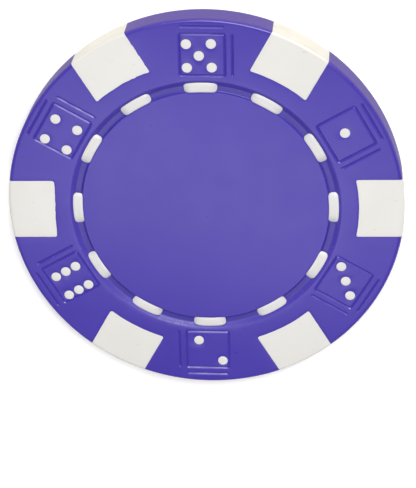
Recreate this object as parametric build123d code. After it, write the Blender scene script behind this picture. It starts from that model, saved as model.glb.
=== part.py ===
from build123d import *
from math import acos, cos, degrees, sin
import os

# Casino chip: a steel weight, a white first-shot moulding gripped round it, and a purple body
# moulded over both. The chip lies flat. +Z is the chip's axis, z = 0 is its lower face, +Y points
# at the five-pip die, +X at a white edge block. Angles turn anticlockwise seen from +Z. Lengths in mm.

# ---- whole chip
chip_diameter = 39.0
chip_thickness = 3.3
edge_rounding = 0.30

# ---- steel weight sealed at mid-thickness
weight_diameter = 26.8
weight_thickness = 1.9
weight_edge_rounding = 0.20

# ---- label seat and the ring groove round it, on both faces
label_seat_depth = 0.10
groove_depth = 0.35
groove_inner_radius = 12.10
groove_floor_inner_radius = 12.20
groove_floor_outer_radius = 12.52
groove_outer_wall_arc = 1.15

# ---- white dashes standing in the ring groove
dash_count = 12
dash_mid_radius = 12.62
dash_length = 3.24
dash_width = 0.97
dash_corner_radius = 0.30
dash_top_depth = 0.15

# ---- white edge blocks, through the full thickness
block_count = 6
block_width = 6.07
block_inner_radius = 15.07
block_corner_radius = 0.30

# ---- white collar round the weight, with an arm to each block and a web under each die
collar_inner_radius = 11.60
collar_outer_radius = 14.30
collar_height = 2.20
arm_width = 4.40
arm_height = 1.50
arm_overlap = 0.60
web_outer_radius = 17.90
web_width = 3.80
web_height = 1.10

# ---- pips, flush with the faces
die_radius = 15.86
pip_diameter = 0.98
pip_pitch = 1.18

# ---- engraved die outlines, cut by the second mould, which sits slightly turned on the first
second_mould_turn = -1.15
outline_radial_side = 4.15
outline_tangential_side = 4.30
extra_line_gap = 0.72
extra_line_length = 4.00
engraving_width = 0.28
engraving_floor_width = 0.08
engraving_depth = 0.12
engraving_overrun = 0.05

# Pip places on each die, in pip pitches: (outwards, anticlockwise)
pips_by_value = {
    1: [(0, 0)],
    2: [(-1, -1), (1, 1)],
    3: [(-1, 1), (0, 0), (1, -1)],
    4: [(-1, -1), (-1, 1), (1, -1), (1, 1)],
    5: [(-1, -1), (-1, 1), (0, 0), (1, -1), (1, 1)],
    6: [(-1, -1), (0, -1), (1, -1), (-1, 1), (0, 1), (1, 1)],
}
die_value_at_angle = {90: 5, 30: 1, -30: 3, -90: 2, -150: 6, 150: 4}

chip_radius = chip_diameter / 2
mid_height = chip_thickness / 2
block_angles = [i * 360 / block_count for i in range(block_count)]
dash_angles = [i * 360 / dash_count for i in range(dash_count)]
on_top = (Align.CENTER, Align.CENTER, Align.MIN)


def at(radius, angle):
    """A place on the chip: local x points outwards, local y anticlockwise."""
    return Rot(0, 0, angle) * Pos(radius, 0, 0)


def underside(shape):
    """A top-face feature carried to the underside, where it reads the same from below."""
    return Pos(0, 0, mid_height) * Rot(0, 180, 0) * Pos(0, 0, -mid_height) * shape


def disc(radius, height, bottom):
    return Pos(0, 0, bottom) * Cylinder(radius, height, align=on_top)


def mid_slab(length, width, height):
    """A box at mid-thickness that starts at local x = 0 and runs outwards."""
    return Pos(0, 0, mid_height) * Box(length, width, height, align=(Align.MIN, Align.CENTER, Align.CENTER))


def chip_blank():
    blank = disc(chip_radius, chip_thickness, 0)
    return fillet(blank.edges(), edge_rounding)


def steel_weight():
    weight = disc(weight_diameter / 2, weight_thickness, mid_height - weight_thickness / 2)
    return fillet(weight.edges(), weight_edge_rounding)


# ---------------------------------------------------------------- white moulding
def collar():
    bottom = mid_height - collar_height / 2
    return disc(collar_outer_radius, collar_height, bottom) - disc(collar_inner_radius, collar_height, bottom)


def arm():
    length = block_inner_radius + arm_overlap - collar_outer_radius + arm_overlap
    return Pos(collar_outer_radius - arm_overlap, 0, 0) * mid_slab(length, arm_width, arm_height)


def web():
    """The plate under a die that its pips stand on."""
    length = web_outer_radius - collar_outer_radius + arm_overlap
    return Pos(collar_outer_radius - arm_overlap, 0, 0) * mid_slab(length, web_width, web_height)


def edge_block(blank):
    """A parallel-sided block whose inner side follows the chip's round, through the full thickness."""
    plan = Pos(chip_radius / 2, 0) * Rectangle(chip_radius + 2 * edge_rounding, block_width)
    plan -= Circle(block_inner_radius)
    block = extrude(plan, chip_thickness)
    inner_corners = block.edges().filter_by(Axis.Z).sort_by(Axis.X)[:2]
    return fillet(inner_corners, block_corner_radius) & blank


def dash():
    """One rounded dash, from the collar up into the ring groove."""
    half_angle = degrees(dash_length / 2 / dash_mid_radius)
    inner = CenterArc((0, 0), dash_mid_radius - dash_width / 2, -half_angle, 2 * half_angle)
    outer = CenterArc((0, 0), dash_mid_radius + dash_width / 2, -half_angle, 2 * half_angle)
    plan = make_face([inner, outer, Line(inner @ 0, outer @ 0), Line(inner @ 1, outer @ 1)])
    plan = fillet(plan.vertices(), dash_corner_radius)
    base = mid_height + weight_thickness / 2
    top = chip_thickness - dash_top_depth
    return Pos(0, 0, base) * extrude(plan, top - base)


def pip_post(outwards, anticlockwise):
    length = mid_height - dash_top_depth
    bottom = chip_thickness - length
    return Pos(outwards * pip_pitch, anticlockwise * pip_pitch, 0) * disc(pip_diameter / 2, length, bottom)


def white_top_features():
    """Dashes and pips of the top face."""
    features = [Rot(0, 0, angle) * dash() for angle in dash_angles]
    for angle, value in die_value_at_angle.items():
        features += [at(die_radius, angle) * pip_post(*place) for place in pips_by_value[value]]
    return features


def white_moulding(blank, weight):
    parts = [Rot(0, 0, angle) * arm() for angle in block_angles]
    parts += [Rot(0, 0, angle) * edge_block(blank) for angle in block_angles]
    parts += [Rot(0, 0, angle) * web() for angle in die_value_at_angle]
    top_features = white_top_features()
    parts += top_features + [underside(feature) for feature in top_features]
    return collar() + parts - weight


# ---------------------------------------------------------------- purple body
def seat_and_groove():
    """Cutter for the label seat and the groove: steep inner wall, flat floor, outer wall a rising arc."""
    top = chip_thickness
    floor = top - groove_depth

    def on_outer_wall(turned):
        rise = groove_outer_wall_arc * (1 - cos(turned))
        return groove_floor_outer_radius + groove_outer_wall_arc * sin(turned), floor + rise

    lip_turn = acos(1 - groove_depth / groove_outer_wall_arc)
    outer_wall = ThreePointArc(on_outer_wall(0), on_outer_wall(lip_turn / 2), on_outer_wall(lip_turn))
    inner_side = Polyline(
        on_outer_wall(lip_turn),
        (0, top),
        (0, top - label_seat_depth),
        (groove_inner_radius, top - label_seat_depth),
        (groove_floor_inner_radius, floor),
        (groove_floor_outer_radius, floor))
    return revolve(Plane.XZ * make_face([inner_side, outer_wall]), Axis.Z)


def tapered_cutter(length, width, floor_change):
    """A bar reaching down from above the face to the engraving floor, its sides drawn in or out."""
    slope = floor_change / engraving_depth
    top_change = slope * engraving_overrun
    floor = Pos(0, 0, chip_thickness - engraving_depth) * Rectangle(length - floor_change, width - floor_change)
    mouth = Pos(0, 0, chip_thickness + engraving_overrun) * Rectangle(length + top_change, width + top_change)
    return loft([floor, mouth], ruled=True)


def engraved_line(length):
    return tapered_cutter(length, engraving_width, engraving_width - engraving_floor_width)


def die_outline():
    """One engraved die: a closed outline, a line outside it and a line on its clockwise side."""
    taper = engraving_width - engraving_floor_width
    outer = tapered_cutter(outline_radial_side + engraving_width, outline_tangential_side + engraving_width, taper)
    core = tapered_cutter(outline_radial_side - engraving_width, outline_tangential_side - engraving_width, -taper)
    far_line = Pos(outline_radial_side / 2 + extra_line_gap, 0, 0) * Rot(0, 0, 90) * engraved_line(extra_line_length)
    side_line = Pos(0, -outline_tangential_side / 2 - extra_line_gap, 0) * engraved_line(extra_line_length)
    return (outer - core).solids() + far_line.solids() + side_line.solids()


def purple_body(blank, weight, white):
    outlines = []
    for angle in die_value_at_angle:
        outlines += [at(die_radius, angle) * cutter for cutter in die_outline()]
    turn = Rot(0, 0, second_mould_turn)
    cutters = [seat_and_groove()] + [turn * cutter for cutter in outlines]
    cutters += [underside(seat_and_groove())] + [turn * underside(cutter) for cutter in outlines]
    return blank - cutters - weight - white


os.makedirs("parts", exist_ok=True)

blank = chip_blank()
weight = steel_weight()
white = white_moulding(blank, weight)
purple = purple_body(blank, weight, white)

export_step(weight, "parts/steel_weight.step")
export_step(white, "parts/white_inlay_moulding.step")
export_step(purple, "parts/purple_body.step")
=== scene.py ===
"""Looks of the casino chip: a steel weight, a white moulding and a purple body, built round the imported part.

The two plastics are finely meshed from one plan of each face. The plan is a flat triangulation that follows
every outline (edge blocks, dashes, pips, engraved lines, groove and rim), and depth functions shape it into
the surface. The hidden inside is cut afterwards: a collar with arms and webs goes from the purple to the
white, and the weight's own shape is cut from both. Lengths are in millimetres until a mesh is made.
Frame: +Z is the chip's axis, +Y the five-pip die, +X a white block.
"""
import math

import bmesh
import bpy
import numpy as np
from mathutils import Matrix, Vector
from mathutils.geometry import delaunay_2d_cdt
from mathutils.kdtree import KDTree


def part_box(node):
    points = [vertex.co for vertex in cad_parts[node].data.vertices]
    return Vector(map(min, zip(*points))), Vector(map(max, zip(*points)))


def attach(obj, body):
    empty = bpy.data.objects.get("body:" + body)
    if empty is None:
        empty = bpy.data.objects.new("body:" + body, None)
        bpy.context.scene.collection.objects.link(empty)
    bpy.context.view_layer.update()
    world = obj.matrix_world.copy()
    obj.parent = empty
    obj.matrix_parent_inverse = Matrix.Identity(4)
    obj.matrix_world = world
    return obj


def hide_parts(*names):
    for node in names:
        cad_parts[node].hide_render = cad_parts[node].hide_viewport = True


MM = 0.001
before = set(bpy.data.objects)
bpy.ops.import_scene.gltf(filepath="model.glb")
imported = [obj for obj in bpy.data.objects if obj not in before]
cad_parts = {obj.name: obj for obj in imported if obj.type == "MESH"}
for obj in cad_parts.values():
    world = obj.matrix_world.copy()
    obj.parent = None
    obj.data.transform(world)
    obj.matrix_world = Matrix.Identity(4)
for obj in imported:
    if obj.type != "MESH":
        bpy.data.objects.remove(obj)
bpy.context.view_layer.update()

# ------------------------------------------------------------------ sizes, the same as in the CAD part
body_low, body_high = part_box("purple_body")
RADIUS = (body_high.y - body_low.y) / 2 / MM
THICKNESS = (body_high.z - body_low.z) / MM
MID_HEIGHT = THICKNESS / 2
EDGE_ROUNDING = 0.30
SEAT_DEPTH = 0.10
DASH_COUNT = 12
DASH_MID_RADIUS = 12.62
DASH_LENGTH = 3.24
DASH_WIDTH = 0.97
DASH_TOP_DEPTH = 0.15
BLOCK_WIDTH = 6.07
BLOCK_INNER_RADIUS = 15.07
DIE_RADIUS = 15.86
PIP_RADIUS = 0.49
PIP_PITCH = 1.18
SECOND_MOULD_TURN = math.radians(-1.15)
OUTLINE_RADIAL = 4.15
OUTLINE_TANGENTIAL = 4.30
LINE_GAP = 0.72
LINE_LENGTH = 4.00
COLLAR_INNER_RADIUS = 11.60
COLLAR_OUTER_RADIUS = 14.30
COLLAR_HEIGHT = 2.20
ARM_WIDTH = 4.40
ARM_HEIGHT = 1.50
ARM_OVERLAP = 0.60
WEB_OUTER_RADIUS = 17.90
WEB_WIDTH = 3.80
WEB_HEIGHT = 1.10

# Pip places on each die, in pip pitches: (outwards, anticlockwise)
PIPS = {
    1: [(0, 0)],
    2: [(-1, -1), (1, 1)],
    3: [(-1, 1), (0, 0), (1, -1)],
    4: [(-1, -1), (-1, 1), (1, -1), (1, 1)],
    5: [(-1, -1), (-1, 1), (0, 0), (1, -1), (1, 1)],
    6: [(-1, -1), (0, -1), (1, -1), (-1, 1), (0, 1), (1, 1)],
}
DIE_AT_ANGLE = {90: 5, 30: 1, -30: 3, -90: 2, -150: 6, 150: 4}

# ------------------------------------------------------------------ finer shape than the CAD part's
GROOVE_DEPTH = 0.34
GROOVE_INNER_LIP = 12.13
GROOVE_INNER_FOOT = 12.30
GROOVE_OUTER_FOOT = 12.84
GROOVE_OUTER_LIP = 13.38
DASH_CORNER = 0.38
DASH_END_DROP = 0.30
DASH_SIDE_DROP = 0.06
DASH_LIFT = 0.03
BLOCK_CORNER = 0.16
BLOCK_LIFT = 0.003
# How far the sides and the inner edge of an uneven block stray; the sides run straight again near the rim
TOOTH_HALF_WIDTH = 0.16
SIDE_WANDER = 0.03
SIDE_WANDER_END = 18.6
SIDE_WANDER_FADE = 0.6
INNER_WANDER = 0.035
INNER_RIPPLE = 0.015
PIP_HOLLOW = 0.012
PIP_EDGE_DROP = 0.020
SECOND_MOULD_SHIFT = (0.0, 0.10)
OUTLINE_CORNER = 0.15
LINE_HALF_WIDTH = 0.15
LINE_DEPTH = 0.105
FACE_UNEVENNESS = 0.004
# Depth and width of the dip along the borders between the two colours
PURPLE_SEAM = (0.018, 0.05)
BLOCK_SEAM = (0.014, 0.06)
# How deep pips and dashes go, into the web or the collar under them
PIP_WALL_DEPTH = 1.25
DASH_WALL_DEPTH = 0.75

# ------------------------------------------------------------------ mesh fineness
RIM_STEPS = 288
GROOVE_STEPS = 576
COLLAR_STEPS = 192
PIP_STEPS = 36
RIM_LEVELS = 6
GROOVE_RINGS = np.concatenate([[11.95, 12.04], np.arange(12.08, 12.27, 0.022), [12.32, 12.42, 12.52],
                               np.arange(12.58, 13.40, 0.055), [13.44]])
# The last ring on the flat of the face, just inside the rounded edge
FLAT_END_RADIUS = 19.08
# The grid of free points, and how far it stays from the rings of the groove on its inside and outside
FREE_SPACING = 0.55
FREE_END_RADIUS = 18.9
FREE_GAP_INSIDE = 0.25
FREE_GAP_OUTSIDE = 0.20
BLOCK_SPACING = 0.13
DASH_SPACING = 0.09
SEAM_SPACING = 0.03
LINE_SPACING = 0.11
LINE_CONTOURS = (0.05, 0.10, 0.15, 0.19)
BLOCK_CONTOURS = (-0.14, -0.05, 0.05, 0.14)
# How far points keep from the guard points
LINE_CLEARANCE = 0.02
TIP_CLEARANCE = 0.06
RING_CLEARANCE = 0.055
GROOVE_CLEARANCE = 0.014
FREE_CLEARANCE = 0.22

# What a face of the plan belongs to
PURPLE, BLOCK, DASH, PIP = range(4)
# How far inside their outlines the contours of dashes and pips run; below zero is outside
CONTOURS = {DASH: (-0.05, 0.05, 0.12, 0.20, 0.30), PIP: (-0.045, 0.05, 0.14, 0.26, 0.40)}
# Contours further inside a pip than this have fewer points
THIN_CONTOURS_FROM = 0.2
# Points beside a border keep this far from the sides of the dashes and from the rounded edge
BORDER_MARGIN = 0.06
# A block's edge is closed for the inside test by an arc at this many rim radii
PAST_RIM = 1.01
CUT_OVERRUN = 0.2
WELD_DISTANCE = 1e-7
# Nothing of an engraved die lies further from its centre, along either of its sides
DIE_REACH = 3.6
# A pocket is smaller than this, and belongs to a dash if its middle lies within this radius, else to a pip
POCKET_SIZE = 3.6
DASH_POCKETS_END = 13.5

# ------------------------------------------------------------------ colours, as linear RGB
PURPLE_CLOUDS = ((0.048, 0.0295, 0.328), (0.053, 0.0335, 0.348))
# Pale specks on sloping walls: partly rubbed wear, partly a painted highlight along the edges
PURPLE_WEAR_AND_GLINT = (0.19, 0.165, 0.50)
# Painted shade: multiplies the purple darker on the groove floor
PURPLE_RECESS_SHADE = (0.72, 0.75, 0.80)
# Painted shade: the rim's purple is darker and warmer than the face
PURPLE_RIM_SHADE = ((0.072, 0.036, 0.235), (0.066, 0.036, 0.285))
WHITE_CLOUDS = ((0.668, 0.664, 0.636), (0.697, 0.693, 0.668))
WHITE_SMUDGE = (0.56, 0.545, 0.52)
WHITE_MARK = (0.40, 0.38, 0.36)
# Painted shade: multiplies the white of the dashes darker where they sit in the groove
WHITE_RECESS_SHADE = (0.92, 0.93, 0.97)
# Painted warm shade: the white rim is darker and creamier than the faces
WHITE_RIM_SHADE = ((0.60, 0.58, 0.50), (0.67, 0.65, 0.57))
STEEL_CLOUDS = ((0.40, 0.40, 0.41), (0.55, 0.55, 0.56))
FLOOR_CLOUDS = ((0.955, 0.955, 0.955), (0.965, 0.965, 0.965))


# ------------------------------------------------------------------ flat curves
def turned(points, angle):
    c, s = math.cos(angle), math.sin(angle)
    p = np.asarray(points, float)
    return np.stack([p[:, 0] * c - p[:, 1] * s, p[:, 0] * s + p[:, 1] * c], 1)


def circle(radius, steps, centre=(0.0, 0.0), start=0.0):
    a = start + np.arange(steps) * 2 * math.pi / steps
    return np.stack([centre[0] + radius * np.cos(a), centre[1] + radius * np.sin(a)], 1)


def resampled(points, spacing, closed=True):
    """The same polyline with points about `spacing` apart, corners kept soft."""
    p = np.asarray(points, float)
    if closed:
        p = np.vstack([p, p[:1]])
    step = np.linalg.norm(np.diff(p, axis=0), axis=1)
    along = np.concatenate([[0], np.cumsum(step)])
    count = max(8, int(round(along[-1] / spacing)))
    at = np.linspace(0, along[-1], count, endpoint=not closed)
    return np.stack([np.interp(at, along, p[:, 0]), np.interp(at, along, p[:, 1])], 1)


def normals(points, closed=True):
    """Unit normals, to the left of the direction of travel."""
    p = np.asarray(points, float)
    if closed:
        d = np.roll(p, -1, 0) - np.roll(p, 1, 0)
    else:
        d = np.gradient(p, axis=0)
    d /= np.maximum(np.linalg.norm(d, axis=1, keepdims=True), 1e-12)
    return np.stack([-d[:, 1], d[:, 0]], 1)


def offset(points, distance, closed=True):
    """Moved to the left of travel; an anticlockwise outline shrinks for positive distances."""
    return np.asarray(points) + normals(points, closed) * distance


def rounded_rectangle(half_x, half_y, corner, spacing):
    pts = []
    for cx, cy, start in ((1, 1, 0), (-1, 1, 90), (-1, -1, 180), (1, -1, 270)):
        for k in range(7):
            a = math.radians(start + 15 * k)
            x = cx * (half_x - corner) + corner * math.cos(a)
            y = cy * (half_y - corner) + corner * math.sin(a)
            pts.append((x, y))
    return resampled(pts, spacing)


def bent(points, radius):
    """Lays (outwards, along) coordinates round an arc: x is the radius, y becomes arc length at `radius`."""
    p = np.asarray(points)
    a = p[:, 1] / radius
    return np.stack([p[:, 0] * np.cos(a), p[:, 0] * np.sin(a)], 1)


def inside(points, outline):
    """Which points lie in the closed outline."""
    p = np.asarray(points)
    low, high = outline.min(0), outline.max(0)
    near = np.all((p >= low) & (p <= high), axis=1)
    result = np.zeros(len(p), bool)
    q = p[near]
    odd = np.zeros(len(q), bool)
    for (x0, y0), (x1, y1) in zip(outline, np.roll(outline, -1, 0)):
        if y0 == y1:
            continue
        crosses = (y0 > q[:, 1]) != (y1 > q[:, 1])
        odd ^= crosses & (q[:, 0] < (x1 - x0) * (q[:, 1] - y0) / (y1 - y0) + x0)
    result[near] = odd
    return result


def smooth_noise(t, seed, waves=5, first=1.0):
    """A smooth wandering value in about -1..1 along t, the same for the same seed."""
    draw = np.random.default_rng(seed)
    total = np.zeros_like(t)
    for k in range(waves):
        size = draw.uniform(0.5, 1.0) / (1 + 0.6 * k)
        phase = draw.uniform(0, 6.28)
        total += size * np.sin(first * (k + 1) * 1.7 * t + phase)
    return total / 2.2


# ------------------------------------------------------------------ outlines of the white features
def dash_outline():
    flat = rounded_rectangle(DASH_WIDTH / 2, DASH_LENGTH / 2, DASH_CORNER, DASH_SPACING)
    return bent(flat + (DASH_MID_RADIUS, 0), DASH_MID_RADIUS)


def rounding_radii():
    """Rings across the rounded edge, the first where it starts and the last at the rim."""
    return [RADIUS - EDGE_ROUNDING + EDGE_ROUNDING * math.sin(math.radians(a)) for a in range(0, 91, 15)]


def block_side(sign, wander):
    """One uneven side of a block from the rim inwards, as (outwards, along) points; straight near the rim."""
    half = BLOCK_WIDTH / 2
    radii = rounding_radii()[::-1] + [FLAT_END_RADIUS]
    x = [math.sqrt(r * r - half * half) for r in radii]
    x += list(np.arange(x[-1] - BLOCK_SPACING, BLOCK_INNER_RADIUS + 0.30, -BLOCK_SPACING))
    x = np.array(x)
    fade = np.clip((SIDE_WANDER_END - x) / SIDE_WANDER_FADE, 0, 1)
    return np.stack([x, sign * (half + wander(x) * fade)], 1)


def block_outline(seed, ragged=(1, 1, 1), tooth=None, corners=(1.0, 1.0), flat=0.0, inset=0.0, tilt=0.0):
    """A block's edge from the rim down one side, along the inner arc and up the other side, at angle 0.

    `ragged` is how uneven the clockwise side, the inner edge and the anticlockwise side are. `tooth` is
    (place along the inner edge, size), `corners` scale the rounding of the inner corners, `flat` straightens
    the inner edge, and `inset` and `tilt` move it.
    """
    right = block_side(-1, lambda x: ragged[0] * SIDE_WANDER * smooth_noise(x, seed, 6, 3.0))
    left = block_side(1, lambda x: ragged[2] * SIDE_WANDER * smooth_noise(x, seed + 1, 6, 3.0))[::-1]
    half = BLOCK_WIDTH / 2
    c0, c1 = BLOCK_CORNER * corners[0], BLOCK_CORNER * corners[1]
    y = np.arange(-half + c0, half - c1 + 0.01, BLOCK_SPACING)
    sag = BLOCK_INNER_RADIUS - np.sqrt(BLOCK_INNER_RADIUS ** 2 - y ** 2)
    x = BLOCK_INNER_RADIUS - sag * (1 - flat) - inset + tilt * y
    x += ragged[1] * INNER_WANDER * smooth_noise(y, seed + 2, 5, 0.9)
    x += ragged[1] * INNER_RIPPLE * smooth_noise(y, seed + 3, 6, 4.0)
    if tooth:
        place, size = tooth
        x -= size * np.exp(-((y - place) / TOOTH_HALF_WIDTH) ** 4)
    right = right[right[:, 0] > x[0] + c0 * 1.02]
    left = left[left[:, 0] > x[-1] + c1 * 1.02]
    corner0, corner1 = [], []
    for a in np.radians((15, 30, 45, 60, 75)):
        corner0.append((x[0] + c0 * (1 - math.sin(a)), -half + c0 * (1 - math.cos(a))))
        corner1.append((x[-1] + c1 * (1 - math.sin(a)), half - c1 * (1 - math.cos(a))))
    return np.vstack([right, corner0, np.stack([x, y], 1), corner1[::-1], left])


BLOCK_CHARACTER = {
    0: dict(seed=11, ragged=(0.2, 0.3, 0.2)),
    60: dict(seed=21, ragged=(0.4, 0.5, 0.4)),
    120: dict(seed=31, ragged=(1.3, 1.2, 0.4), tooth=(-1.45, 0.07), corners=(0.8, 0.9)),
    180: dict(seed=41, ragged=(0.2, 1.3, 0.3), corners=(1.9, 1.3), flat=0.9, inset=0.20, tilt=0.03),
    -120: dict(seed=51, ragged=(0.4, 0.5, 0.4), corners=(1.5, 1.2)),
    -60: dict(seed=61, ragged=(0.4, 0.4, 0.3), corners=(1.2, 0.9)),
}


def frame_rows():
    """Rows of points round a die's engraved frame, in step with each other."""
    spine = rounded_rectangle(OUTLINE_RADIAL / 2, OUTLINE_TANGENTIAL / 2, OUTLINE_CORNER, LINE_SPACING)
    return [offset(spine, w) for w in sorted({0.0, *LINE_CONTOURS, *(-w for w in LINE_CONTOURS)})]


def line_rows(start, end):
    """Rows of points along a straight engraved line, in step with each other, with fans round its ends."""
    s, e = np.array(start, float), np.array(end, float)
    length = np.linalg.norm(e - s)
    d = (e - s) / length
    n = np.array([-d[1], d[0]])
    t = np.linspace(0, 1, int(round(length / LINE_SPACING)) + 1)[:, None]
    spine = s + t * (e - s)
    rows = [spine]
    for w in LINE_CONTOURS:
        rows += [spine + w * n, spine - w * n]
        for centre, out in ((e, d), (s, -d)):
            angles = np.radians((-60, -30, 0, 30, 60))
            rows.append(np.array([centre + w * (math.cos(a) * out + math.sin(a) * n) for a in angles]))
    return rows


def extra_lines():
    """The short lines outwards and clockwise of a die's frame, as (outwards, along) segments."""
    out = OUTLINE_RADIAL / 2 + LINE_GAP
    side = -(OUTLINE_TANGENTIAL / 2 + LINE_GAP)
    half = LINE_LENGTH / 2
    return [((out, -half), (out, half)), ((-half, side), (half, side))]


# ------------------------------------------------------------------ heights, as depth below the face
def smoothstep(t):
    t = np.clip(t, 0, 1)
    return t * t * (3 - 2 * t)


def groove_depth(r):
    """The seat inside, a steep inner wall, a flat floor, and a slanting outer wall with rounded ends."""
    inner = smoothstep((r - GROOVE_INNER_LIP) / (GROOVE_INNER_FOOT - GROOVE_INNER_LIP))
    up = np.clip((r - GROOVE_OUTER_FOOT) / (GROOVE_OUTER_LIP - GROOVE_OUTER_FOOT), 0, 1)
    outer = 0.5 * up + 0.5 * smoothstep(up)
    return (SEAT_DEPTH + (GROOVE_DEPTH - SEAT_DEPTH) * inner) * (1 - outer)


def edge_drop(r):
    over = np.clip((r - (RADIUS - EDGE_ROUNDING)) / EDGE_ROUNDING, 0, 1)
    return EDGE_ROUNDING * (1 - np.sqrt(np.maximum(1 - over * over, 0)))


def distance_to_segment(p, a, b):
    a, b = np.array(a), np.array(b)
    t = np.clip(((p - a) @ (b - a)) / ((b - a) @ (b - a)), 0, 1)
    return np.linalg.norm(p - (a + t[:, None] * (b - a)), axis=1)


def distance_to_frame(p):
    """Distance to a die outline's centreline, with p as (outwards, along) from the die's centre."""
    hx, hy = OUTLINE_RADIAL / 2 - OUTLINE_CORNER, OUTLINE_TANGENTIAL / 2 - OUTLINE_CORNER
    q = np.abs(p) - (hx, hy)
    outside = np.linalg.norm(np.maximum(q, 0), axis=1) + np.minimum(np.maximum(q[:, 0], q[:, 1]), 0)
    return np.abs(outside - OUTLINE_CORNER)


def line_profile(distance):
    """A V with a slightly rounded floor and lips."""
    t = np.clip(1 - distance / LINE_HALF_WIDTH, 0, 1)
    return 0.75 * t + 0.25 * smoothstep(t)


def wear(p, seed):
    """A long wandering value over a face, in about -1..1."""
    draw = np.random.default_rng(seed)
    z = np.zeros(len(p))
    for _ in range(7):
        heading = draw.uniform(0, math.pi)
        pace = draw.uniform(0.18, 0.75)
        phase = draw.uniform(0, 6.28)
        z += np.sin(pace * (p[:, 0] * math.cos(heading) + p[:, 1] * math.sin(heading)) + phase) / 7
    return z


def tree_of(points):
    tree = KDTree(len(points))
    for k, (x, y) in enumerate(points):
        tree.insert((x, y, 0), k)
    tree.balance()
    return tree


# ------------------------------------------------------------------ one face's plan
class FacePlan:
    """The flat triangulation of one face, seen from outside that face."""

    def __init__(self, mould_turn, seed, character, underside=False):
        self.mould_turn = mould_turn
        self.underside = underside
        self.seed = seed
        self.points = []
        self.edges = []
        self.whites = []
        self.pip_centres = []
        self.blocks = []
        self.place_features(character)
        guards = self.add_whites() + self.add_blocks()
        guards += self.add_engraving(guards)
        self.add_rings(guards)
        self.add_free_points(guards)
        borders = [resampled(shape, SEAM_SPACING) for _, shape in self.whites]
        borders += [resampled(shape, SEAM_SPACING, closed=False) for shape in self.blocks]
        self.seams = tree_of(np.vstack(borders))
        self.triangulate()

    # ---- points of the plan. Guards are the points that later ones keep clear of.
    def add(self, pts, closed=True, chain=True):
        """Adds points; `chain` keeps the edges between them, `closed` also the one from last to first."""
        base = sum(len(p) for p in self.points)
        self.points.append(np.asarray(pts, float))
        n = len(pts)
        if chain:
            last = n if closed else n - 1
            self.edges += [(base + k, base + (k + 1) % n) for k in range(last)]

    @staticmethod
    def keep_clear(pts, guards, distance):
        """Drops the points that come within `distance` of the guard points."""
        tree = tree_of(np.vstack(guards))
        keep = [tree.find((x, y, 0))[2] > distance for x, y in pts]
        return pts[np.array(keep, bool)]

    def place_features(self, character):
        """The outlines of the dashes, pips and blocks."""
        for k in range(DASH_COUNT):
            self.whites.append((DASH, turned(dash_outline(), 2 * math.pi * k / DASH_COUNT)))
        for angle, value in DIE_AT_ANGLE.items():
            for out, along in PIPS[value]:
                place = (DIE_RADIUS + out * PIP_PITCH, along * PIP_PITCH)
                centre = turned([place], math.radians(angle))[0]
                self.pip_centres.append(centre)
                self.whites.append((PIP, circle(PIP_RADIUS, PIP_STEPS, centre)))
        for angle, traits in character.items():
            shape = turned(block_outline(**traits), math.radians(angle))
            if self.underside:
                shape = (shape * (-1, 1))[::-1]
            self.blocks.append(shape)

    def add_whites(self):
        """Dashes and pips, with contours beside their outlines."""
        guards = []
        for kind, shape in self.whites:
            self.add(shape)
            guards.append(shape)
            for s in CONTOURS[kind]:
                ring = offset(shape, s)
                if kind == DASH and s < 0:
                    off_middle = np.abs(np.linalg.norm(ring, axis=1) - DASH_MID_RADIUS)
                    ring = ring[off_middle < DASH_WIDTH / 2 - BORDER_MARGIN]
                if kind == PIP and s > THIN_CONTOURS_FROM:
                    ring = ring[::3]
                self.add(ring, chain=kind == PIP and s < THIN_CONTOURS_FROM)
                guards.append(ring)
        return guards

    def add_blocks(self):
        """Blocks, with contours beside their edges."""
        guards = []
        for shape in self.blocks:
            self.add(shape, closed=False)
            guards.append(shape)
            for s in BLOCK_CONTOURS:
                ring = offset(shape, s, closed=False)
                ring = ring[np.linalg.norm(ring, axis=1) < RADIUS - EDGE_ROUNDING - BORDER_MARGIN]
                self.add(ring, chain=False)
                guards.append(ring)
        return guards

    def add_engraving(self, guards):
        """Rows of points along the engraved lines of every die."""
        own = []
        for angle in DIE_AT_ANGLE:
            a = math.radians(angle) + self.mould_turn
            lines = frame_rows()
            for s, e in extra_lines():
                lines += line_rows(s, e)
            for shape in lines:
                placed = turned(shape + (DIE_RADIUS, 0), a) + SECOND_MOULD_SHIFT
                placed = self.keep_clear(placed, guards, LINE_CLEARANCE)
                self.add(placed, chain=False)
                own.append(placed)
        return own

    def add_rings(self, guards):
        """The rim, with the tips of the blocks in it, and the rings of the rounded edge and the groove."""
        block_tips = np.array([s[k] for s in self.blocks for k in (0, -1)])
        rim = self.keep_clear(circle(RADIUS, RIM_STEPS), [block_tips], TIP_CLEARANCE)
        rim = np.vstack([rim, block_tips])
        self.add(rim[np.argsort(np.arctan2(rim[:, 1], rim[:, 0]))])
        for r in rounding_radii()[:-1] + [FLAT_END_RADIUS]:
            self.add(self.keep_clear(circle(r, RIM_STEPS), guards, RING_CLEARANCE), chain=False)
        for r in GROOVE_RINGS:
            self.add(self.keep_clear(circle(r, GROOVE_STEPS), guards, GROOVE_CLEARANCE), chain=False)

    def add_free_points(self, guards):
        """A triangular grid over the flat parts of the face."""
        free = []
        rows = np.arange(-RADIUS, RADIUS, FREE_SPACING * math.sqrt(3) / 2)
        for k, y in enumerate(rows):
            x = np.arange(-RADIUS, RADIUS, FREE_SPACING) + (k % 2) * FREE_SPACING / 2
            free.append(np.stack([x, np.full(len(x), y)], 1))
        free = np.vstack(free)
        r = np.linalg.norm(free, axis=1)
        off_groove = (r < GROOVE_RINGS[0] - FREE_GAP_INSIDE) | (r > GROOVE_RINGS[-1] + FREE_GAP_OUTSIDE)
        free = free[(r < FREE_END_RADIUS) & off_groove]
        self.add(self.keep_clear(free, guards, FREE_CLEARANCE), chain=False)

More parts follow.
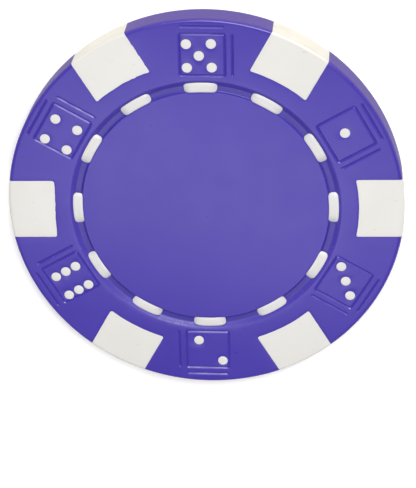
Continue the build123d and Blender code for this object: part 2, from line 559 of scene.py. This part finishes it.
    # ---- faces of the plan
    def triangulate(self):
        """Finds the points and faces, and the kind of each face."""
        pts = [Vector(p) for p in np.vstack(self.points)]
        verts, _, faces, _, _, _ = delaunay_2d_cdt(pts, self.edges, [], 0, 1e-7, True)
        self.flat = np.array([tuple(v) for v in verts])
        self.faces = np.array([f for f in faces], int)
        centre = self.flat[self.faces].mean(1)
        self.kind = np.full(len(centre), PURPLE)
        for shape in self.blocks:
            self.kind[inside(centre, self.closed_past_rim(shape))] = BLOCK
        for kind, shape in self.whites:
            self.kind[inside(centre, shape)] = kind

    @staticmethod
    def closed_past_rim(shape):
        """A block's edge, closed by an arc just outside the rim."""
        a0, a1 = (math.atan2(tip[1], tip[0]) for tip in (shape[0], shape[-1]))
        sweep = (a1 - a0) % (2 * math.pi)
        arc = []
        for t in np.linspace(0, 1, 12):
            a = a1 - t * sweep
            arc.append((PAST_RIM * RADIUS * math.cos(a), PAST_RIM * RADIUS * math.sin(a)))
        return np.vstack([shape, arc])

    # ---- depths below the face
    def depth(self, kind, p):
        """How far below the face the surface of one kind lies."""
        depth_of = {PURPLE: self.depth_purple, BLOCK: self.depth_block,
                    DASH: self.depth_dash, PIP: self.depth_pip}
        return depth_of[kind](p)

    def depth_purple(self, p):
        r = np.linalg.norm(p, axis=1)
        depth = np.maximum(groove_depth(r), edge_drop(r))
        for angle in DIE_AT_ANGLE:
            a = math.radians(angle) + self.mould_turn
            local = turned(p - SECOND_MOULD_SHIFT, -a) - (DIE_RADIUS, 0)
            near = np.abs(local).max(1) < DIE_REACH
            q = local[near]
            if not len(q):
                continue
            cut = line_profile(distance_to_frame(q))
            for s, e in extra_lines():
                cut = np.maximum(cut, line_profile(distance_to_segment(q, s, e)))
            uneven = 1 + 0.25 * wear(q * 6, self.seed + angle + 500)
            depth[near] = np.maximum(depth[near], LINE_DEPTH * cut * uneven)
        return depth + self.unevenness(p) + self.seam_dip(p, *PURPLE_SEAM)

    def depth_block(self, p):
        seam = self.seam_dip(p, *BLOCK_SEAM)
        return edge_drop(np.linalg.norm(p, axis=1)) + self.unevenness(p) + seam - BLOCK_LIFT

    def depth_dash(self, p):
        """A rounded top that falls away towards its ends."""
        angle = np.arctan2(p[:, 1], p[:, 0])
        step = 2 * math.pi / DASH_COUNT
        along = (angle - np.round(angle / step) * step) * DASH_MID_RADIUS
        across = np.linalg.norm(p, axis=1) - DASH_MID_RADIUS
        end = np.abs(along) / (DASH_LENGTH / 2)
        side = np.abs(across) / (DASH_WIDTH / 2)
        fall = DASH_END_DROP * end ** 4 + DASH_SIDE_DROP * side ** 4
        return DASH_TOP_DEPTH + fall - DASH_LIFT

    def depth_pip(self, p):
        nearest = np.full(len(p), 9.0)
        for centre in self.pip_centres:
            nearest = np.minimum(nearest, np.linalg.norm(p - centre, axis=1))
        t = np.clip(nearest / PIP_RADIUS, 0, 1)
        return self.unevenness(p) - PIP_HOLLOW * (1 - t ** 2) + PIP_EDGE_DROP * t ** 6

    def unevenness(self, p):
        return FACE_UNEVENNESS * (1 + wear(p, self.seed))

    def seam_dip(self, p, depth, width):
        """A slight dip along the borders between the two colours."""
        distance = np.array([min(self.seams.find((x, y, 0))[2], 0.5) for x, y in p])
        return depth * np.exp(-(distance / width) ** 2)

    # ---- from the plan to the chip
    def height_at(self, depth):
        return depth if self.underside else THICKNESS - depth

    def lifted(self, kind):
        """The faces of one kind: points in the chip's frame, faces over them, and the flat points.

        The underside's plan is turned over about Y.
        """
        faces = self.faces[self.kind == kind]
        used = np.unique(faces)
        new = {int(v): k for k, v in enumerate(used)}
        flat = self.flat[used]
        x = -flat[:, 0] if self.underside else flat[:, 0]
        points = np.stack([x, flat[:, 1], self.height_at(self.depth(kind, flat))], 1)
        return points, [tuple(new[int(v)] for v in f) for f in faces], flat


# ------------------------------------------------------------------ lifting the plans into closed meshes
def boundary_edges(faces):
    """Directed edges that only one face has."""
    seen = {}
    for f in faces:
        for a, b in ((f[0], f[1]), (f[1], f[2]), (f[2], f[0])):
            seen[(a, b)] = True
    return [(a, b) for (a, b) in seen if (b, a) not in seen]


def loops_of(edges):
    """Closed loops of ids, following the directed edges."""
    after = {}
    for a, b in edges:
        after.setdefault(a, []).append(b)
    loops = []
    while after:
        start = next(iter(after))
        loop = [start]
        while True:
            nxt = after[loop[-1]].pop()
            if not after[loop[-1]]:
                del after[loop[-1]]
            if nxt == start:
                break
            loop.append(nxt)
        loops.append(loop)
    return loops


class MeshData:
    """Points in millimetres and faces over their ids, until they become an object."""

    def __init__(self):
        self.verts = []
        self.faces = []

    def point(self, x, y, z):
        self.verts.append((x, y, z))
        return len(self.verts) - 1

    def patch(self, points, faces):
        """Adds points and the faces over them; gives the id of the first point."""
        base = len(self.verts)
        self.verts += [tuple(v) for v in points]
        self.faces += [tuple(base + v for v in f) for f in faces]
        return base

    def pocket(self, loop, far):
        """Adds a wall from a closed loop of ids to the height `far`, and a fan that closes its end."""
        ring = [self.point(*self.verts[v][:2], far) for v in loop]
        n = len(loop)
        for k in range(n):
            j = (k + 1) % n
            self.faces.append((loop[k], ring[k], ring[j], loop[j]))
        centre = self.point(*np.array([self.verts[v] for v in ring]).mean(0))
        for k in range(n):
            self.faces.append((centre, ring[(k + 1) % n], ring[k]))

    def build(self, name, material, sharp_degrees=38):
        mesh = bpy.data.meshes.new(name)
        verts = [(x * MM, y * MM, z * MM) for x, y, z in self.verts]
        mesh.from_pydata(verts, [], self.faces)
        mesh.validate()
        mesh.materials.append(material)
        mesh.update()
        mesh.shade_smooth()
        mesh.set_sharp_from_angle(angle=math.radians(sharp_degrees))
        obj = bpy.data.objects.new(name, mesh)
        bpy.context.scene.collection.objects.link(obj)
        return obj


def key_of(point):
    """The same for points that lie above each other on the two faces."""
    return (round(point[0], 4), round(point[1], 4))


def join_through(data, top_edges, bottom_ids):
    """Walls between the two faces, along boundary edges that lie above each other."""
    columns = {}

    def column(v):
        if v not in columns:
            x, y, z = data.verts[v]
            w = bottom_ids[key_of((x, y))]
            low = data.verts[w][2]
            ids = [v]
            for k in range(1, RIM_LEVELS):
                ids.append(data.point(x, y, z + (low - z) * k / RIM_LEVELS))
            columns[v] = ids + [w]
        return columns[v]

    for a, b in top_edges:
        ca, cb = column(a), column(b)
        for k in range(RIM_LEVELS):
            data.faces.append((cb[k], ca[k], ca[k + 1], cb[k + 1]))


def split_boundary(flat, faces, base):
    """A patch's boundary, parted into small inner loops (pockets) and the other edges (rim, block sides)."""
    pockets, through = [], []
    for loop in loops_of(boundary_edges(faces)):
        ids = [base + v for v in loop]
        pts = flat[loop]
        size = pts.max(0) - pts.min(0)
        if size.max() < POCKET_SIZE and np.linalg.norm(pts, axis=1).max() < RADIUS - 0.5:
            pockets.append((ids, np.linalg.norm(pts.mean(0))))
        else:
            through += zip(ids, ids[1:] + ids[:1])
    return pockets, through


def build_plastics(top, bottom):
    """The purple body with pockets for the dashes and pips, and all white features as closed pieces."""
    purple, white = MeshData(), MeshData()
    for data, kind in ((purple, PURPLE), (white, BLOCK)):
        for plan in (bottom, top):
            points, faces, flat = plan.lifted(kind)
            base = data.patch(points, faces)
            pockets, through = split_boundary(flat, faces, base)
            if plan is bottom:
                below = {key_of(data.verts[v]): v for edge in through for v in edge}
            for ids, radius in pockets:
                wall_depth = DASH_WALL_DEPTH if radius < DASH_POCKETS_END else PIP_WALL_DEPTH
                data.pocket(ids, plan.height_at(wall_depth))
        # The upper face came last, so `through` holds its edges.
        join_through(data, through, below)
    for plan in (bottom, top):
        for kind, wall_depth in ((DASH, DASH_WALL_DEPTH), (PIP, PIP_WALL_DEPTH)):
            points, faces, _ = plan.lifted(kind)
            base = white.patch(points, faces)
            for loop in loops_of(boundary_edges(faces)):
                white.pocket([base + v for v in loop], plan.height_at(wall_depth))
    return purple, white


# ------------------------------------------------------------------ materials
class Nodes:
    """Shorthand for building one material's node tree."""

    def __init__(self, name):
        self.material = bpy.data.materials.new(name)
        self.material.use_nodes = True
        self.tree = self.material.node_tree
        self.shader = self.tree.nodes["Principled BSDF"]
        self.place = self.add("ShaderNodeTexCoord").outputs["Object"]

    def add(self, kind, **inputs):
        node = self.tree.nodes.new(kind)
        for name, value in inputs.items():
            node.inputs[name.replace("_", " ")].default_value = value
        return node

    def link(self, out, into):
        self.tree.links.new(out, into)

    def noise(self, scale, detail=3.0, roughness=0.55, stretch=None, turn=0.0):
        """Noise over the object, with `scale` cells per metre."""
        place = self.place
        if stretch:
            mapping = self.add("ShaderNodeMapping")
            mapping.inputs["Scale"].default_value = stretch
            mapping.inputs["Rotation"].default_value = (0, 0, math.radians(turn))
            self.link(place, mapping.inputs["Vector"])
            place = mapping.outputs["Vector"]
        node = self.add("ShaderNodeTexNoise", Scale=scale, Detail=detail, Roughness=roughness)
        self.link(place, node.inputs["Vector"])
        return node.outputs["Fac"]

    def ramp(self, value, stops):
        """A colour ramp through (place, colour or grey) stops."""
        node = self.add("ShaderNodeValToRGB")
        ramp = node.color_ramp
        while len(ramp.elements) < len(stops):
            ramp.elements.new(0.5)
        for element, (place, colour) in zip(ramp.elements, stops):
            element.position = place
            element.color = (*colour, 1) if isinstance(colour, tuple) else (colour, colour, colour, 1)
        self.link(value, node.inputs["Fac"])
        return node.outputs["Color"]

    def clouds(self, value, low, high, colours):
        """Runs from the first colour to the second while the value goes from `low` to `high`."""
        return self.ramp(value, [(low, colours[0]), (high, colours[1])])

    def mix(self, factor, a, b, blend="MIX"):
        node = self.tree.nodes.new("ShaderNodeMix")
        node.data_type = "RGBA"
        node.blend_type = blend
        self.put(factor, node.inputs[0])
        self.put(a, node.inputs[6])
        self.put(b, node.inputs[7])
        return node.outputs[2]

    def put(self, value, socket):
        if isinstance(value, bpy.types.NodeSocket):
            self.link(value, socket)
        elif isinstance(value, tuple):
            socket.default_value = (*value, 1)
        else:
            socket.default_value = value

    def bump(self, heights):
        """Stacks bumps: (height output, strength, distance in metres)."""
        normal = None
        for height, strength, distance in heights:
            node = self.add("ShaderNodeBump", Strength=strength, Distance=distance)
            self.link(height, node.inputs["Height"])
            if normal:
                self.link(normal, node.inputs["Normal"])
            normal = node.outputs["Normal"]
        self.link(normal, self.shader.inputs["Normal"])

    def carried(self, name):
        """A value that the mesh's points carry."""
        node = self.add("ShaderNodeAttribute")
        node.attribute_name = name
        return node.outputs["Fac"]

    def set(self, **values):
        for name, value in values.items():
            self.put(value, self.shader.inputs[name.replace("_", " ")])


def purple_plastic():
    """Cloudy purple with pale specks on sloping walls, partly wear and partly painted highlight, painted shade
    on the groove floor, and a painted shade and duller gloss on the rim.
    """
    n = Nodes("purple_plastic")
    colour = n.clouds(n.noise(140, 4), 0.30, 0.70, PURPLE_CLOUDS)
    # Pale specks on sloping walls, partly wear and partly painted highlight
    speck = n.ramp(n.noise(5200, 1, 0.4), [(0.65, 0.0), (0.77, 0.45)])
    wear_and_glint = n.mix(1.0, n.carried("edge"), speck, "MULTIPLY")
    colour = n.mix(wear_and_glint, colour, PURPLE_WEAR_AND_GLINT)
    # Painted shade on the groove floor
    colour = n.mix(n.carried("recess_shade"), colour, PURPLE_RECESS_SHADE, "MULTIPLY")
    # Painted shade on the rim
    colour = n.mix(n.carried("rim"), colour, n.clouds(n.noise(500, 4), 0.3, 0.7, PURPLE_RIM_SHADE))
    n.link(colour, n.shader.inputs["Base Color"])
    rough = n.ramp(n.noise(420, 4), [(0.25, 0.27), (0.75, 0.34)])
    worn_groove = n.ramp(n.noise(4200, 2), [(0.35, 0.38), (0.65, 0.52)])
    rough = n.mix(n.carried("groove"), rough, worn_groove)
    rough = n.mix(n.carried("rim"), rough, (0.55, 0.55, 0.55))
    n.link(rough, n.shader.inputs["Roughness"])
    gloss = n.mix(n.carried("rim"), (0.5, 0.5, 0.5), (0.36, 0.36, 0.36))
    n.link(gloss, n.shader.inputs["Specular IOR Level"])
    hair = n.noise(900, 2, 0.5, stretch=(0.12, 1.6, 1.0), turn=28)
    n.bump([(n.noise(260, 3), 0.25, 0.00003), (n.noise(5200, 2), 0.30, 0.000006), (hair, 0.12, 0.000008)])
    return n.material


def white_plastic():
    """Warm white with faint smudges and short marks, painted shade on the dashes in the groove, and a painted
    warm shade on the rim.
    """
    n = Nodes("white_plastic")
    base = n.clouds(n.noise(170, 4), 0.25, 0.75, WHITE_CLOUDS)
    smudge = n.ramp(n.noise(620, 5, 0.65), [(0.60, 0.0), (0.80, 0.22)])
    colour = n.mix(smudge, base, WHITE_SMUDGE)
    mark = n.ramp(n.noise(1500, 1, 0.3, stretch=(0.55, 1.7, 1.0), turn=62), [(0.735, 0.0), (0.80, 0.35)])
    colour = n.mix(mark, colour, WHITE_MARK)
    # Painted shade on the dashes in the groove
    colour = n.mix(n.carried("recess_shade"), colour, WHITE_RECESS_SHADE, "MULTIPLY")
    # Painted warm shade on the rim
    colour = n.mix(n.carried("rim"), colour, n.clouds(n.noise(700, 4), 0.3, 0.7, WHITE_RIM_SHADE))
    n.link(colour, n.shader.inputs["Base Color"])
    rough = n.ramp(n.noise(380, 4), [(0.25, 0.28), (0.75, 0.40)])
    n.link(rough, n.shader.inputs["Roughness"])
    n.set(Specular_IOR_Level=0.5, Subsurface_Weight=0.25, Subsurface_Scale=0.0006)
    n.shader.inputs["Subsurface Radius"].default_value = (1.0, 0.9, 0.75)
    hair = n.noise(900, 2, 0.5, stretch=(1.5, 0.12, 1.0), turn=-24)
    n.bump([(n.noise(300, 3), 0.22, 0.00003), (n.noise(5200, 2), 0.25, 0.000005), (hair, 0.12, 0.000006)])
    return n.material


def dull_steel():
    n = Nodes("dull_steel")
    n.link(n.clouds(n.noise(300, 5), 0.3, 0.7, STEEL_CLOUDS), n.shader.inputs["Base Color"])
    n.link(n.ramp(n.noise(900, 4), [(0.3, 0.32), (0.7, 0.50)]), n.shader.inputs["Roughness"])
    n.set(Metallic=1.0)
    n.bump([(n.noise(1400, 3, stretch=(0.1, 1.5, 1.0)), 0.3, 0.00001)])
    return n.material


def floor_material():
    n = Nodes("pale_floor")
    n.link(n.clouds(n.noise(12, 3), 0.3, 0.7, FLOOR_CLOUDS), n.shader.inputs["Base Color"])
    n.set(Roughness=0.9, Specular_IOR_Level=0.0, Emission_Color=(1, 1, 1), Emission_Strength=0.18)
    return n.material


def mark_edges(obj):
    """Values on each point for the materials.

    `edge` is on all sloping walls, where the purple gets pale specks, partly wear and partly painted
    highlight;
    `groove` on those of the ring groove, `recess_shade` on its floor for painted shade, and `rim` on the rim.
    """
    count = len(obj.data.vertices)
    co, normal = np.zeros(count * 3, np.float32), np.zeros(count * 3, np.float32)
    obj.data.vertices.foreach_get("co", co)
    obj.data.vertices.foreach_get("normal", normal)
    r = np.hypot(*(co.reshape(-1, 3)[:, :2] / MM).T)
    tilt = 1 - np.abs(normal.reshape(-1, 3)[:, 2])
    rim = np.clip((r - (RADIUS - 0.07)) / 0.06, 0, 1)
    edge = smoothstep((tilt - 0.015) / 0.05) * (1 - rim)
    put_values(obj, "edge", edge)
    put_values(obj, "groove", edge * (r < GROOVE_OUTER_LIP + 0.2))
    put_values(obj, "rim", rim)
    # Mask for the painted shade on the groove floor, between its two walls
    past_inner_wall = smoothstep((r - GROOVE_INNER_FOOT + 0.05) / 0.12)
    before_outer_wall = smoothstep((GROOVE_OUTER_FOOT + 0.10 - r) / 0.20)
    put_values(obj, "recess_shade", past_inner_wall * before_outer_wall)


def put_values(obj, name, values):
    layer = obj.data.attributes.new(name, "FLOAT", "POINT")
    layer.data.foreach_set("value", values.astype(np.float32))


# ------------------------------------------------------------------ the hidden inside
def prism(outline, height, material):
    """A closed upright prism about mid-thickness over a convex outline."""
    data = MeshData()
    low = [data.point(x, y, MID_HEIGHT - height / 2) for x, y in outline]
    high = [data.point(x, y, MID_HEIGHT + height / 2) for x, y in outline]
    data.faces += [tuple(reversed(low)), tuple(high)]
    for k in range(len(outline)):
        m = (k + 1) % len(outline)
        data.faces.append((low[k], low[m], high[m], high[k]))
    return data.build("core_piece", material)


def combined(obj, operation, tool, keep_tool=False):
    """Joins a closed mesh to another or cuts it with another, in place."""
    modifier = obj.modifiers.new("combine", "BOOLEAN")
    modifier.operation = operation
    modifier.object = tool
    modifier.solver = "MANIFOLD"
    bpy.context.view_layer.update()
    result = bpy.data.meshes.new_from_object(obj.evaluated_get(bpy.context.evaluated_depsgraph_get()))
    obj.modifiers.clear()
    obj.data = result
    if not keep_tool:
        bpy.data.objects.remove(tool)


def welded_copy(obj):
    """A copy whose faces share their points, closed for cutting."""
    body = bmesh.new()
    body.from_mesh(obj.data)
    bmesh.ops.remove_doubles(body, verts=body.verts, dist=WELD_DISTANCE)
    mesh = bpy.data.meshes.new(obj.name + "_welded")
    body.to_mesh(mesh)
    body.free()
    copy = bpy.data.objects.new(mesh.name, mesh)
    copy.matrix_world = obj.matrix_world
    bpy.context.scene.collection.objects.link(copy)
    return copy


def hidden_core(material):
    """The white collar round the weight with an arm to each block and a web under each die."""
    core = prism(circle(COLLAR_OUTER_RADIUS, COLLAR_STEPS), COLLAR_HEIGHT, material)
    opening = prism(circle(COLLAR_INNER_RADIUS, COLLAR_STEPS), COLLAR_HEIGHT + CUT_OVERRUN, material)
    combined(core, "DIFFERENCE", opening)
    start = COLLAR_OUTER_RADIUS - ARM_OVERLAP
    arms = (BLOCK_CHARACTER, BLOCK_INNER_RADIUS + ARM_OVERLAP, ARM_WIDTH, ARM_HEIGHT)
    webs = (DIE_AT_ANGLE, WEB_OUTER_RADIUS, WEB_WIDTH, WEB_HEIGHT)
    for angles, end, width, height in (arms, webs):
        bar = np.array([(start, -width / 2), (end, -width / 2), (end, width / 2), (start, width / 2)])
        for angle in angles:
            combined(core, "UNION", prism(turned(bar, math.radians(angle)), height, material))
    return core


# ------------------------------------------------------------------ the chip
top = FacePlan(SECOND_MOULD_TURN, 1, BLOCK_CHARACTER)
bottom = FacePlan(-SECOND_MOULD_TURN, 2, BLOCK_CHARACTER, underside=True)
purple_data, white_data = build_plastics(top, bottom)
purple = purple_data.build("purple_body_fine", purple_plastic())
white = white_data.build("white_moulding_fine", white_plastic())
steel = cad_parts["steel_weight"]
weight = welded_copy(steel)
core = hidden_core(white.data.materials[0])
combined(purple, "DIFFERENCE", core, keep_tool=True)
combined(purple, "DIFFERENCE", weight, keep_tool=True)
combined(white, "UNION", core)
combined(white, "DIFFERENCE", weight)
steel.data.materials.clear()
steel.data.materials.append(dull_steel())
for piece, node, slot in ((purple, "purple_body", "purple_plastic"),
                          (white, "white_inlay_moulding", "white_plastic")):
    mark_edges(piece)
    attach(piece, "root")
    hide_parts(node)

# ------------------------------------------------------------------ floor, lights and camera
CAMERA_AIM = (0.14, -3.82)
CAMERA_AZIMUTH = math.radians(78.65)
CAMERA_ELEVATION = math.radians(63.95)
CAMERA_DISTANCE = 178.42
CAMERA_ROLL = math.radians(2.36)
CAMERA_LENS = 132.79
CAMERA_SENSOR = 36.0
HORIZON_LIGHT = 0.66
ZENITH_LIGHT = 0.12
ZENITH_LIGHT_FROM = 0.7
FLOOR_HALF = 0.6
FLOOR_DROP = 0.00002


def area_light(name, place, aim, size, power, colour):
    """A rectangular light; the camera doesn't see it."""
    light = bpy.data.lights.new(name, "AREA")
    light.shape = "RECTANGLE"
    light.size = size[0] * MM
    light.size_y = size[1] * MM
    light.energy = power
    light.color = colour
    obj = bpy.data.objects.new(name, light)
    bpy.context.scene.collection.objects.link(obj)
    obj.location = Vector(place) * MM
    obj.rotation_euler = (Vector(place) - Vector(aim)).to_track_quat("Z", "Y").to_euler()
    obj.visible_camera = False


def make_camera():
    """Aims at a point of the upper face from the given side and height, and rolls about the line of sight."""
    data = bpy.data.cameras.new("camera")
    data.lens = CAMERA_LENS
    data.sensor_width = CAMERA_SENSOR
    data.sensor_fit = "AUTO"
    data.clip_start = 0.01
    data.clip_end = 10.0
    obj = bpy.data.objects.new("camera", data)
    bpy.context.scene.collection.objects.link(obj)
    level_reach = math.cos(CAMERA_ELEVATION)
    back = Vector((level_reach * math.cos(CAMERA_AZIMUTH), level_reach * math.sin(CAMERA_AZIMUTH),
                   math.sin(CAMERA_ELEVATION)))
    level = Vector((0, 1, 0)) - back * back.y
    level.normalize()
    side = (-back).cross(level)
    up = level * math.cos(CAMERA_ROLL) + side * math.sin(CAMERA_ROLL)
    right = up.cross(back)
    turn = Matrix((right, up, back)).transposed().to_4x4()
    where = (Vector((*CAMERA_AIM, THICKNESS)) + back * CAMERA_DISTANCE) * MM
    obj.matrix_world = Matrix.Translation(where) @ turn
    bpy.context.scene.camera = obj


def studio_world():
    """Pale all round at eye height, dimmer towards the zenith."""
    world = bpy.data.worlds.new("studio")
    world.use_nodes = True
    nodes, links = world.node_tree.nodes, world.node_tree.links
    coords = nodes.new("ShaderNodeTexCoord")
    split = nodes.new("ShaderNodeSeparateXYZ")
    ramp = nodes.new("ShaderNodeMapRange")
    links.new(coords.outputs["Generated"], split.inputs["Vector"])
    links.new(split.outputs["Z"], ramp.inputs["Value"])
    ramp.inputs["From Max"].default_value = ZENITH_LIGHT_FROM
    ramp.inputs["To Min"].default_value = HORIZON_LIGHT
    ramp.inputs["To Max"].default_value = ZENITH_LIGHT
    background = nodes["Background"]
    background.inputs["Color"].default_value = (1, 1, 1, 1)
    links.new(ramp.outputs["Result"], background.inputs["Strength"])
    bpy.context.scene.world = world


floor_mesh = bpy.data.meshes.new("floor")
floor_corners = [(x * FLOOR_HALF, y * FLOOR_HALF, 0) for x, y in ((-1, -1), (1, -1), (1, 1), (-1, 1))]
floor_mesh.from_pydata(floor_corners, [], [(0, 1, 2, 3)])
floor_mesh.materials.append(floor_material())
floor = bpy.data.objects.new("floor", floor_mesh)
floor.location.z = -FLOOR_DROP
bpy.context.scene.collection.objects.link(floor)

area_light("key", place=(54, 167, 268), aim=(0, 0, 0), size=(170, 120),
           power=1.05, colour=(1.0, 0.985, 0.965))
area_light("sheen", place=(-7.5, -27, 77), aim=(0, 3, 0), size=(64, 32),
           power=0.0152, colour=(1.0, 0.96, 1.0))
area_light("warm_side", place=(60, 260, 25), aim=(0, 0, 0), size=(200, 60),
           power=0.03, colour=(1.0, 0.72, 0.40))
studio_world()
bpy.context.scene.view_settings.view_transform = "Standard"

make_camera()
